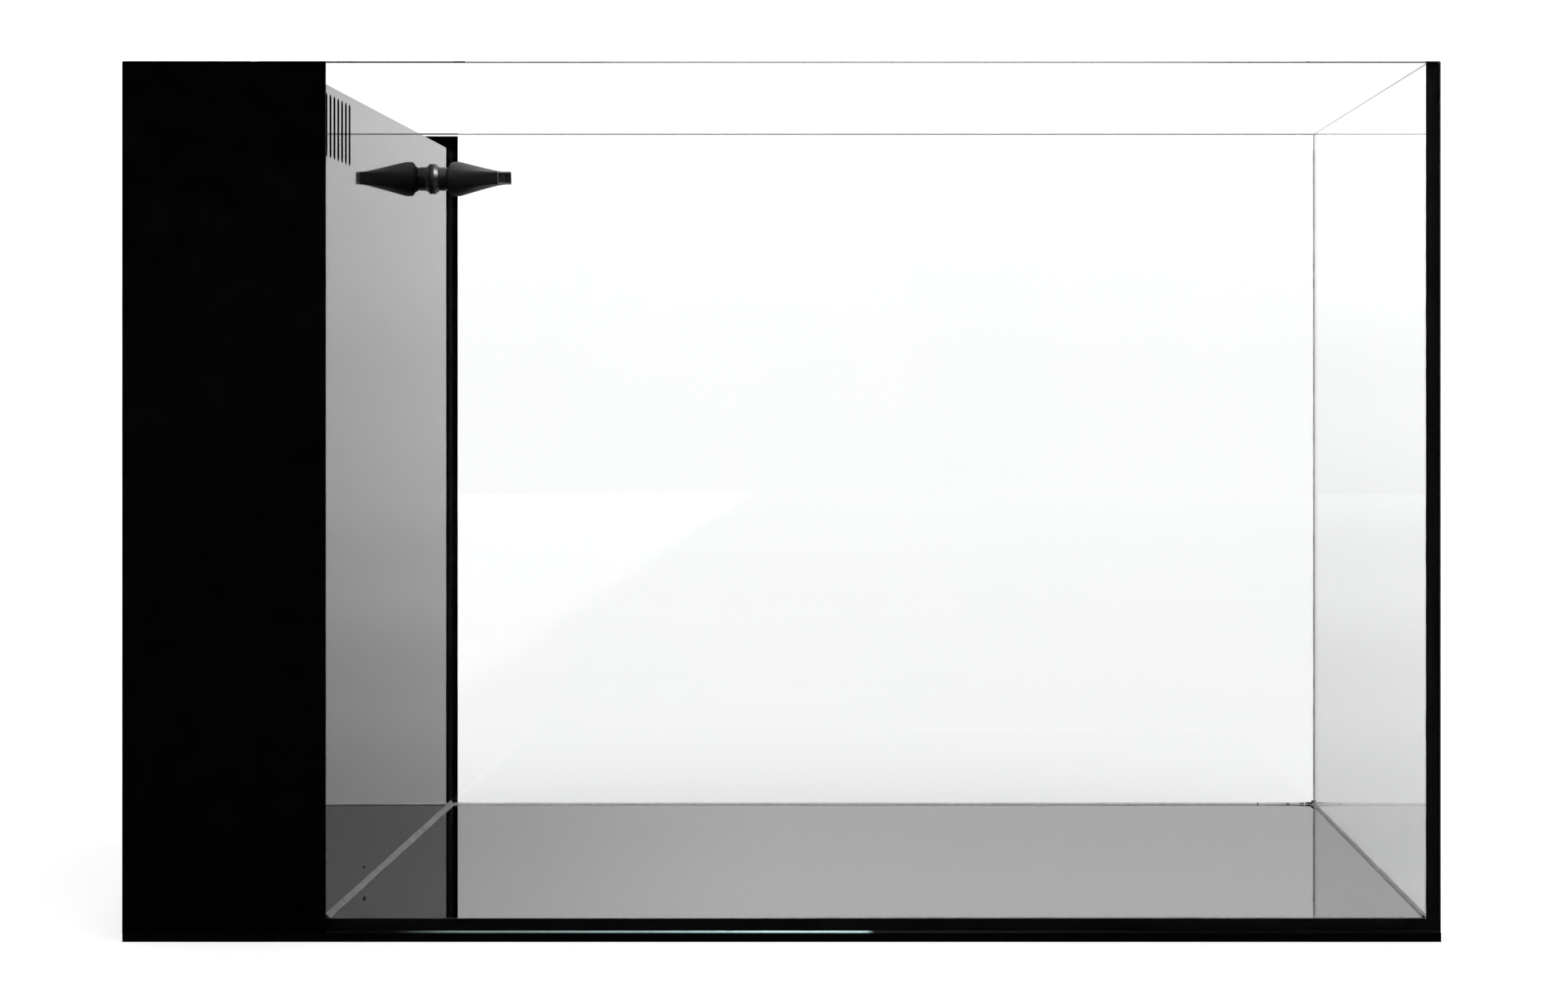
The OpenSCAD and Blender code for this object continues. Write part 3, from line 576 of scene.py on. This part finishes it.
def film(name, node, normal_axis, outward):
    low, high = box_mm(node)
    low, high = low.copy(), high.copy()
    if outward < 0:
        high[normal_axis] += COUPLED
    else:
        low[normal_axis] -= COUPLED
    other = 1 - normal_axis

    def trimmed(p):
        q = p.copy()
        if abs(abs(p[other]) - OUTER_X) > 1:
            q[other] += 0.07 * wander(p, 14, 4)
        if p.z > high.z - 0.5:
            q.z += 0.12 * wander(p, 17, 6)
        return q

    counts = [1, 1, 90]
    counts[other] = max(8, int((high[other] - low[other]) / 4))
    verts, faces = lattice(low, high, counts, trimmed)
    return make(name, verts, faces, "tank", "black_film", [node])


foam_mat()
corner_seams()
bottom_seam()
film("film_front", "front_film", 1, -1)
film("film_back", "back_film", 1, 1)
film("film_left", "left_film", 0, -1)


def front_edge_glow():
    """Sheet on the lower ground edge of the front pane, from the partition to the right pane, that
    carries its painted glow.
    """
    low = (PARTITION_X + 0.6, -OUTER_Y - 0.08, 4.0)
    high = (INNER_X - 1, -OUTER_Y + 0.1, 5.1)

    def worn(p):
        return p + Vector((0, 0, 0.05 * wander(p, 5, 12)))

    piece = make("front_edge_glow_sheet", *lattice(low, high, (250, 1, 3), worn), "tank", "glass")
    piece.data.materials[0] = EDGE_GLOW_PAINT


def pane_rims():
    """Ground bevels along the tops of the front and back panes."""
    lift, count = 0.02, 60
    parts = []
    spans = ((-OUTER_Y, -206.0, OUTER_X - 0.6), (INNER_Y, -208.0, INNER_X))
    for seed, (y, x0, x1) in enumerate(spans):
        rows = []
        for k in range(count + 1):
            x = x0 + (x1 - x0) * k / count
            uneven = 0.05 * wander(Vector((x, y, 0)), 30, 31 + seed)
            foot = (x, y - lift, RIM_Z - BEVEL + uneven)
            rows.append([foot, (x, y + BEVEL - lift, RIM_Z + lift)])
        parts.append(loft(rows, skin=True))
    piece = make("ground_rims", *join(parts), "tank", "glass")
    piece.data.materials[0] = GROUND_RIM


front_edge_glow()
pane_rims()


# ---- Clear silicone ----


def bead(start, end, a, b, leg, seed, waver=0.16, smear=0.5):
    """Tooled fillet in the corner line from start to end; its legs lie along a and b."""
    start, end, a, b = Vector(start), Vector(end), Vector(a), Vector(b)
    along = end - start
    steps = max(8, int(along.length / 1.6))
    rows = []
    for i in range(steps + 1):
        t = i / steps
        p = start + along * t
        near_end = math.exp(-min(t, 1 - t) * along.length / 5)
        tooth = 0.05 * math.sin(t * along.length * 0.9 + seed)
        grow = 1 + smear * near_end * (0.3 + abs(wander(p, 4, seed)))
        la = leg * grow * (1 + waver * wander(p, 13, seed) + tooth)
        lb = leg * grow * (1 + waver * wander(p, 17, seed + 3) - tooth)
        hollow = 0.30 + 0.10 * wander(p, 9, seed + 5)
        row = []
        for k in range(11):
            s = k / 10
            row.append(
                p
                + a * ((1 - s) ** 2 * la + 2 * s * (1 - s) * hollow * la + 0.01)
                + b * (s**2 * lb + 2 * s * (1 - s) * hollow * lb + 0.01)
            )
        if along.dot(a.cross(b)) < 0:
            row.reverse()
        rows.append(row)
    return loft(rows, skin=True)


def display_beads():
    x0, x1, y, floor = PARTITION_X, INNER_X, INNER_Y, FLOOR_Z
    left_leg, right_leg, thin = 2.1, 1.7, 0.9
    up = (0, 0, 1)
    parts = [
        bead((x0, -y + 1, floor), (x0, y - 1, floor), (1, 0, 0), up, left_leg, 2.0),
        bead((x1, -y + 1, floor), (x1, y - 1, floor), (-1, 0, 0), up, right_leg, 7.0),
        bead((x0 + 2, y, floor), (x1 - 2, y, floor), (0, -1, 0), up, thin, 17.0),
    ]
    make("floor_silicone", *join(parts), "tank", "clear_silicone", ["floor_bead"], 60)
    front = bead((x0 + 2, -y, floor), (x1 - 2, -y, floor), (0, 1, 0), up, thin, 11.0)
    piece = make("front_silicone", *front, "tank", "clear_silicone", sharp=60)
    piece.data.materials[0] = PALE_BEAD


def upright_beads():
    foot, top, leg, waver = FLOOR_Z + 3, RIM_Z - 10, 0.8, 0.3
    parts = []
    for n, (x, ax) in enumerate(((PARTITION_X, 1), (INNER_X, -1))):
        for m, y in enumerate((-INNER_Y, INNER_Y)):
            parts.append(
                bead((x, y, foot), (x, y, top), (ax, 0, 0), (0, -math.copysign(1, y), 0), leg,
                     23 + 5 * n + 9 * m, waver)
            )
    piece = make("corner_silicone", *join(parts), "tank", "clear_silicone", ["corner_beads"], 60)
    piece.data.materials[0] = THIN_BEAD


def dab(centre, size, seed):
    """Small uneven lump."""
    centre, half = Vector(centre), Vector(size) / 2

    def rounded(p):
        out = p.normalized() * (1 + 0.4 * wander(p, 0.9, seed))
        return centre + Vector([out[a] * half[a] for a in range(3)])

    return lattice((-1, -1, -1), (1, 1, 1), (4, 4, 4), rounded)


def smears():
    """Black silicone that got onto the panes at the back right corner and the partition's foot."""
    parts = [
        dab((-208.5, -92.0, 17.8), (1.0, 5.0, 1.8), 1),
        dab((291.6, 193.6, 10.7), (5.0, 0.8, 1.1), 2),
        dab((287.2, 193.7, 10.6), (3.4, 0.6, 0.7), 3),
        dab((293.2, 193.3, 11.3), (1.5, 1.2, 2.2), 4),
        dab((279.0, 193.7, 10.4), (2.4, 0.6, 0.6), 5),
        dab((261.5, 193.7, 10.6), (0.6, 0.6, 1.3), 6),
        dab((292.8, -193.2, 10.8), (1.8, 1.4, 1.2), 7),
    ]
    return make("silicone_smears", *join(parts), "tank", "black_silicone")


display_beads()
upright_beads()
smears()


# ---- Return nozzle ----

BALL = Vector((-195.0, 127.0, 369.7))
NOZZLE_YAW = -16.0
NOZZLE_ROLL = 3.7


def flare(radius, half_w, half_h, t, steps=14, crease=4, turn=0.5):
    """Ring between a circle at t 0 and the mouth's rectangle at t 1, with creases between them."""
    quarter = []
    for k in range(steps + 1):
        a = math.pi / 2 * k / steps
        if k < crease:
            square = (half_w, (half_h - turn) * k / (crease - 1))
        elif k == crease:
            square = (half_w - 0.3 * turn, half_h - 0.3 * turn)
        else:
            square = ((half_w - turn) * (steps - k) / (steps - crease - 1), half_h)
        round_ = (radius * math.cos(a), radius * math.sin(a))
        quarter.append([(1 - t) * c + t * d for c, d in zip(round_, square)])
    back = quarter[::-1]
    return (
        [(y, z) for y, z in quarter] + [(-y, z) for y, z in back]
        + [(-y, -z) for y, z in quarter] + [(y, -z) for y, z in back]
    )


def nozzle():
    """Return nozzle: rounded collar, creased flare, lip, throat, and the socket round the ball."""
    shell, collar, collar_start, collar_round = 9.6, 2.0, -3.3, 172
    start, end, tip = 1.4, 25.0, 28.6
    half_h, lip, wall = 3.6, 0.3, 0.6
    socket, throat, throat_start, throat_end = 8.45, 7.27, 4.3, 25.2
    throat_w, throat_h, socket_start = 8.4, 2.55, -3.05
    rows = []

    def ring(s, r):
        rows.append([(s, y, z) for y, z in flare(r, r, r, 0)])

    def flat_ring(s, radius, half_w, half_h, t):
        rows.append([(s, y, z) for y, z in flare(radius, half_w, half_h, t)])

    for k in range(9):
        a = math.radians(collar_round - (collar_round - 90) * k / 8)
        ring(collar_start + collar * (1 + math.cos(a)), shell - collar + collar * math.sin(a))
    ring(0.0, shell)
    for k in range(25):
        t = k / 24
        flat_ring(start + t * (end - start), shell, shell, half_h, t)
    flat_ring((end + tip) / 2, shell, shell, half_h, 1)
    lip_ring = len(rows)
    for k in range(7):
        a = math.pi / 2 * k / 6
        inset = lip * (1 - math.cos(a))
        flat_ring(tip - lip + lip * math.sin(a), shell, shell - inset, half_h - inset, 1)
    for k in range(5):
        a = math.pi / 2 * k / 4
        inset = wall + lip * math.sin(a)
        flat_ring(tip - lip * (1 - math.cos(a)), shell, shell - inset, half_h - inset, 1)
    throat_ring = len(rows)
    for k in range(21):
        t = 1 - k / 20
        flat_ring(throat_start + t * (throat_end - throat_start), throat, throat_w, throat_h, t)
    wall_ring = len(rows) - 1
    for k in range(1, 13):
        s = throat_start - k / 12 * (throat_start - socket_start)
        ring(s, math.sqrt(socket**2 - s**2))
    verts, faces = loft(rows, closed_ring=True)
    turn = Matrix.Rotation(math.radians(NOZZLE_YAW), 3, "Z") @ Matrix.Rotation(
        math.radians(NOZZLE_ROLL), 3, "X"
    )
    verts = [turn @ Vector(v) + BALL for v in verts]
    piece = make("return_nozzle", verts, faces, "nozzle", "black_plastic", ["flare_nozzle"], 26)
    piece.data.materials[0] = SATIN_PLASTIC
    piece.data.materials.append(LIP_HIGHLIGHT_PAINT)
    piece.data.materials.append(THROAT_LIGHT_PAINT)
    for face in piece.data.polygons:
        ring = min(face.vertices) // len(rows[0])
        # Painted highlight on the lip faces and painted light on the throat faces
        if lip_ring <= ring < wall_ring:
            face.material_index = 1 if ring < throat_ring else 2


nozzle()


# ---- Filter sock ----


# Where the side seam runs, as an angle round the sock
SEAM_TURN = 1.2


def sock():
    """Felt tube with a round bottom; the last third of the rows goes round the closed end."""
    low, high = box_mm("filter_sock")
    centre = (low + high) / 2
    radius, wall, top = 31.1, 1.2, high.z
    straight = top - low.z - radius - 0.1
    around, down, tube_share = 120, 64, 0.66
    outer, inner = [], []
    for i in range(down + 1):
        t = i / down
        if t < tube_share:
            z, r, end = top - straight * t / tube_share, radius, 0.0
        else:
            end = (t - tube_share) / (1 - tube_share) * math.radians(88)
            z, r = top - straight - radius * math.sin(end), radius * math.cos(end)
        for rows, inset in ((outer, 0.0), (inner, wall)):
            row = []
            for k in range(around):
                a = 2 * math.pi * k / around
                p = Vector((centre.x + r * math.cos(a), centre.y + r * math.sin(a), z))
                free = min(1.0, (top - z) / 26)
                fold = free * (0.9 + 0.9 * wander((6 * a, 0, z / 9), 1.4, 4))
                pucker = 0.35 * abs(math.sin(9 * a)) * (1 if end > 1.0 else 0)
                off_seam = math.sin((a - SEAM_TURN) / 2) * 2 * radius
                seam = 0.9 * (math.exp(-(off_seam**2) / 5) - 1)
                keep = radius - fold - pucker + seam * free - inset
                scale = keep / radius
                rise = inset if end else 0.0
                row.append(
                    (centre.x + (p.x - centre.x) * scale, centre.y + (p.y - centre.y) * scale,
                     z + rise * math.sin(end))
                )
            rows.append(row)
    verts, faces = loft(outer + inner[::-1])
    piece = make("felt_sock", verts, faces, "sock", "felt", ["filter_sock"], 180)
    return piece


def sock_stitches():
    """Overlocked thread down the side seam of the sock."""
    low, high = box_mm("filter_sock")
    centre = (low + high) / 2
    points = []
    for i in range(150):
        z = high.z - 7 - i * 0.86
        a = SEAM_TURN + (0.045 if i % 2 else -0.045)
        r = 30.15 + 0.12 * (i % 2)
        points.append((centre.x + r * math.cos(a), centre.y + r * math.sin(a), z))
    return make("sock_stitching", *tube(points, 0.28, 6), "sock", "felt")


sock()
sock_stitches()


# ---- Filter media ----


def soften(p, low, high, corner, crown):
    """Box point moved to a block with rounded edges and domed faces."""
    centre, half = (low + high) / 2, (high - low) / 2
    inner = half - Vector((corner,) * 3)
    core = Vector([max(-inner[a], min(inner[a], p[a] - centre[a])) for a in range(3)])
    out = p - centre - core
    if out.length > 1e-6:
        out = out.normalized() * corner
    q = core + out
    for a in range(3):
        b, c = (a + 1) % 3, (a + 2) % 3
        dome = (1 - (q[b] / half[b]) ** 2) * (1 - (q[c] / half[c]) ** 2)
        q[a] += (dome - 1) * crown * (q[a] / half[a])
    return centre + q


def swell(verts, faces, cap_mm, low, high):
    """Cloth simulation under pressure; returns the swollen points, held inside the box."""
    mesh = bpy.data.meshes.new("swell")
    mesh.from_pydata([Vector(v) * MM for v in verts], [], faces)
    trial = bpy.data.objects.new("swell", mesh)
    bpy.context.scene.collection.objects.link(trial)
    cloth = trial.modifiers.new("cloth", "CLOTH")
    cloth.settings.use_pressure = True
    cloth.settings.uniform_pressure_force = 4
    cloth.settings.effector_weights.gravity = 0
    cloth.settings.quality = 5
    for step in range(1, 21):
        bpy.context.scene.frame_set(step)
    shown = trial.evaluated_get(bpy.context.evaluated_depsgraph_get())
    out = []
    for v, start in zip(shown.data.vertices, verts):
        start = Vector(start)
        move = v.co / MM - start
        if move.length > cap_mm:
            move = move.normalized() * cap_mm
        q = start + move
        out.append(Vector([max(low[a], min(high[a], q[a])) for a in range(3)]))
    bpy.context.scene.frame_set(1)
    bpy.data.objects.remove(trial)
    bpy.data.meshes.remove(mesh)
    return out


def ring_bag():
    """Knitted bag of ceramic rings, sewn shut at both ends."""
    low, high = box_mm("media_bag")
    inset = Vector((3.5, 6, 4))
    small_low, small_high = low + inset, high - inset

    def pillow(p):
        q = soften(p, small_low, small_high, 12, 6)
        t = abs(p.y - (low.y + high.y) / 2) / ((high.y - low.y) / 2)
        mid = (small_low.z + small_high.z) / 2 - 6
        q.z = mid + (q.z - mid) * (1 - 0.35 * t**4)
        return q

    verts, faces = lattice(small_low, small_high, (20, 38, 13), pillow)
    verts = swell(verts, faces, 5, low, high)
    bottom = low.z + 0.1

    def lumpy(p):
        q = Vector(p)
        lump = noise.voronoi(q / 8.5)[0][0]
        out = q - (low + high) / 2
        q += out.normalized() * (1.6 * (0.45 - lump))
        q.z = max(q.z, bottom)
        return Vector([max(low[a] + 0.05, min(high[a] - 0.05, q[a])) for a in range(3)])

    piece = make("ring_bag", [lumpy(v) for v in verts], faces, "low_tray", "mesh_bag",
                 ["media_bag"], 180)
    finer = piece.modifiers.new("finer", "SUBSURF")
    finer.levels = finer.render_levels = 1
    hems = []
    for s in (-1, 1):
        y = (low.y + high.y) / 2 + s * ((high.y - low.y) / 2 - 2.4)
        z = (low.z + high.z) / 2 - 5
        for row in (0, 1):
            points = [
                (low.x + 9 + i * 1.1, y - s * 1.6 * row + 0.5 * wander((i, s, row), 6, 3),
                 z + 1.2 * wander((i, 2 * s, row), 9, 8) + 0.35 * (i % 2))
                for i in range(48)
            ]
            hems.append(tube(points, 0.7, 6))
    make("bag_hems", *join(hems), "low_tray", "mesh_bag")
    return piece


def foam_block():
    low, high = box_mm("sponge_block")

    def cut(p):
        q = soften(p, low, high, 2.2, 0.9)
        out = (q - (low + high) / 2).normalized()
        pit = max(0.0, noise.voronoi(q / 3.4)[0][0] - 0.35)
        return q - out * (1.3 * pit + 0.25 * abs(wander(q, 7, 3)))

    verts, faces = lattice(low, high, (50, 96, 40), cut)
    piece = make("filter_sponge", verts, faces, "mid_tray", "sponge", ["sponge_block"], 180)
    return piece


def wadding():
    low, high = box_mm("floss_pad")
    inset = Vector((2, 2, 3))
    small_low, small_high = low + inset, high - inset
    verts, faces = lattice(
        small_low, small_high, (30, 58, 9), lambda p: soften(p, small_low, small_high, 7, 3)
    )
    verts = swell(verts, faces, 3.5, low, high)

    def fluffed(p):
        q = Vector(p)
        lift = 1.5 * wander(q, 11, 2) + 0.8 * wander(q, 4, 6)
        q += Vector((0.5 * lift, 0.5 * lift, lift))
        return Vector([max(low[a] + 0.1, min(high[a] - 0.1, q[a])) for a in range(3)])

    piece = make("floss_wadding", [fluffed(v) for v in verts], faces, "top_tray", "floss",
                 ["floss_pad"], 180)
    finer = piece.modifiers.new("finer", "SUBSURF")
    finer.levels = finer.render_levels = 1
    fibres = []
    for _ in range(260):
        at = Vector((rng.uniform(low.x + 4, high.x - 4), rng.uniform(low.y + 4, high.y - 4),
                     high.z - rng.uniform(0.2, 3.5)))
        heading, curl = rng.uniform(0, 2 * math.pi), rng.uniform(-0.5, 0.5)
        points = []
        for i in range(9):
            points.append(at.copy())
            heading += curl
            at += Vector((1.5 * math.cos(heading), 1.5 * math.sin(heading), rng.uniform(-0.3, 0.35)))
            at = Vector([max(low[a] + 0.2, min(high[a] - 0.2, at[a])) for a in range(3)])
        fibres.append(tube(points, 0.11, 3))
    make("floss_fibres", *join(fibres), "top_tray", "floss")
    return piece


ring_bag()
foam_block()
wadding()


# ---- Stage, light and camera ----

SCENE = bpy.context.scene
SCENE.view_settings.view_transform = "Standard"


def floor_disc():
    radius, rings, sides = 6.0, 24, 96
    verts, faces = [(0, 0, 0)], []
    for r in range(1, rings + 1):
        for k in range(sides):
            a = 2 * math.pi * k / sides
            d = radius * (r / rings) ** 2
            verts.append((d * math.cos(a), d * math.sin(a), 0))
    for k in range(sides):
        faces.append([0, 1 + k, 1 + (k + 1) % sides])
    for r in range(rings - 1):
        for k in range(sides):
            j = (k + 1) % sides
            a, b = 1 + r * sides, 1 + (r + 1) * sides
            faces.append([a + k, b + k, b + j, a + j])
    mesh = bpy.data.meshes.new("floor")
    mesh.from_pydata(verts, [], faces)
    s = Surface("floor", Specular_IOR_Level=0.0, Roughness=0.9)
    split = s.node("SeparateXYZ", {"Vector": s.place}).outputs
    y = split["Y"]
    away = s.node("VectorMath", {0: s.place}, operation="LENGTH").outputs["Value"]
    mirrored = s.math("GREATER_THAN", s.node("LightPath").outputs["Glossy Depth"], 0.5)
    far = s.fit(away, 0.5, 6.0, shape="SMOOTHSTEP")
    tone = s.math("ADD", s.fit(s.noise(2.0, 2), 0.3, 0.7, 0.494, 0.506), s.math("MULTIPLY", far, -0.5))
    tone = s.choose(mirrored, 0.0, tone)
    # Painted light: the floor glows on top of its lit colour, a little more in front of the tank than
    # behind it, which washes out the tank's shadow there, and more far off, where its own colour fades
    # out
    lit = s.math("ADD", s.fit(y, -0.3, 0.3, 0.52, 0.40), s.fit(far, 0, 1, 0.0, 0.75))
    # Painted light: a little more glow left of the black end hides the shadow that end throws on the
    # floor.
    lit = s.math("ADD", lit, s.fit(split["X"], -0.3, -0.34, 0.0, 0.06))
    # Painted reflection: in reflections the floor shows only a glow, weaker near the tank and none in
    # front of it
    image = s.ramp(away, ((0.3, 0.59), (0.9, 0.715), (2.4, 0.89), (6.0, 1.03)))
    image = s.math("MULTIPLY", image, s.fit(y, -0.2, -0.15))
    glow = s.choose(mirrored, image, lit)
    s.colour(s.node("CombineColor", {"Red": tone, "Green": tone, "Blue": tone}).outputs["Color"])
    s.shader.inputs["Emission Color"].default_value = (1, 1, 1, 1)
    s.tree.links.new(glow, s.shader.inputs["Emission Strength"])
    mesh.materials.append(s.material)
    piece = bpy.data.objects.new("floor", mesh)
    SCENE.collection.objects.link(piece)


def studio():
    """White surround, lit from behind and above, that darkens towards the camera's side."""
    world = bpy.data.worlds.new("studio")
    world.use_nodes = True
    SCENE.world = world
    n = Nodes(world.node_tree)
    n.tree.nodes.clear()
    direction = n.node("TexCoord").outputs["Generated"]
    split = n.node("SeparateXYZ", {"Vector": direction}).outputs
    bounces = n.node("LightPath").outputs["Glossy Depth"]
    open_light = n.ramp(split["Z"], ((-0.04, 1.15), (0.0, 1.16), (0.06, 1.20), (1.0, 1.5)))
    image = n.ramp(
        split["Z"],
        ((-0.14, 0.66), (-0.07, 0.9), (0.0, 1.12), (0.05, 1.31), (0.085, 1.45), (0.13, 0.97),
         (0.175, 1.22), (1.0, 1.5)),
    )
    lit_side = n.math("MAXIMUM", n.ramp(split["Y"], ((-0.55, 0.0), (0.05, 1.0))),
                      n.ramp(split["Z"], ((0.3, 0.0), (0.6, 1.0))))
    image = n.math("MULTIPLY", image, lit_side)
    # The floor pane mirrors a darker side of the room towards the partition
    low_left = n.math("MULTIPLY", n.ramp(split["Z"], ((0.09, 0.0), (0.13, 1.0))),
                      n.ramp(split["X"], ((-0.18, -0.28), (-0.03, 0.0))))
    image = n.math("MULTIPLY", image, n.math("ADD", low_left, 1.0))
    again = n.math("MULTIPLY", n.math("GREATER_THAN", bounces, 1.5),
                   n.math("GREATER_THAN", split["X"], 0.0))
    image = n.math("MULTIPLY", image, n.choose(again, 0.46, 1.0))
    # Soft panel above the tank, seen only in the first reflection
    toward = n.node("VectorMath", {0: direction, 1: PANEL}, operation="DOT_PRODUCT")
    panel = n.ramp(toward.outputs["Value"], ((0.90, 0.0), (0.97, PANEL_LIGHT)))
    panel = n.choose(n.math("GREATER_THAN", bounces, 1.5), 0.0, panel)
    image = n.math("ADD", image, panel)
    strength = n.choose(n.math("GREATER_THAN", bounces, 0.5), image, open_light)
    background = n.node("Background", {"Color": (1, 1, 1, 1), "Strength": strength})
    n.node("OutputWorld", {"Surface": background.outputs["Background"]})


PANEL = Vector((0.68, -0.24, 0.69)).normalized()
PANEL_LIGHT = 23.0

floor_disc()
studio()

camera = bpy.data.objects.new("camera", bpy.data.cameras.new("camera"))
SCENE.collection.objects.link(camera)
camera.location = (0.0567, -1.5981, 0.2507)
camera.rotation_euler = (math.radians(90), 0, 0)
camera.data.sensor_width = 36.0
camera.data.lens = 70.54
camera.data.shift_x = -0.078
camera.data.shift_y = -0.0707
camera.data.clip_start = 0.05
camera.data.clip_end = 50.0
SCENE.camera = camera
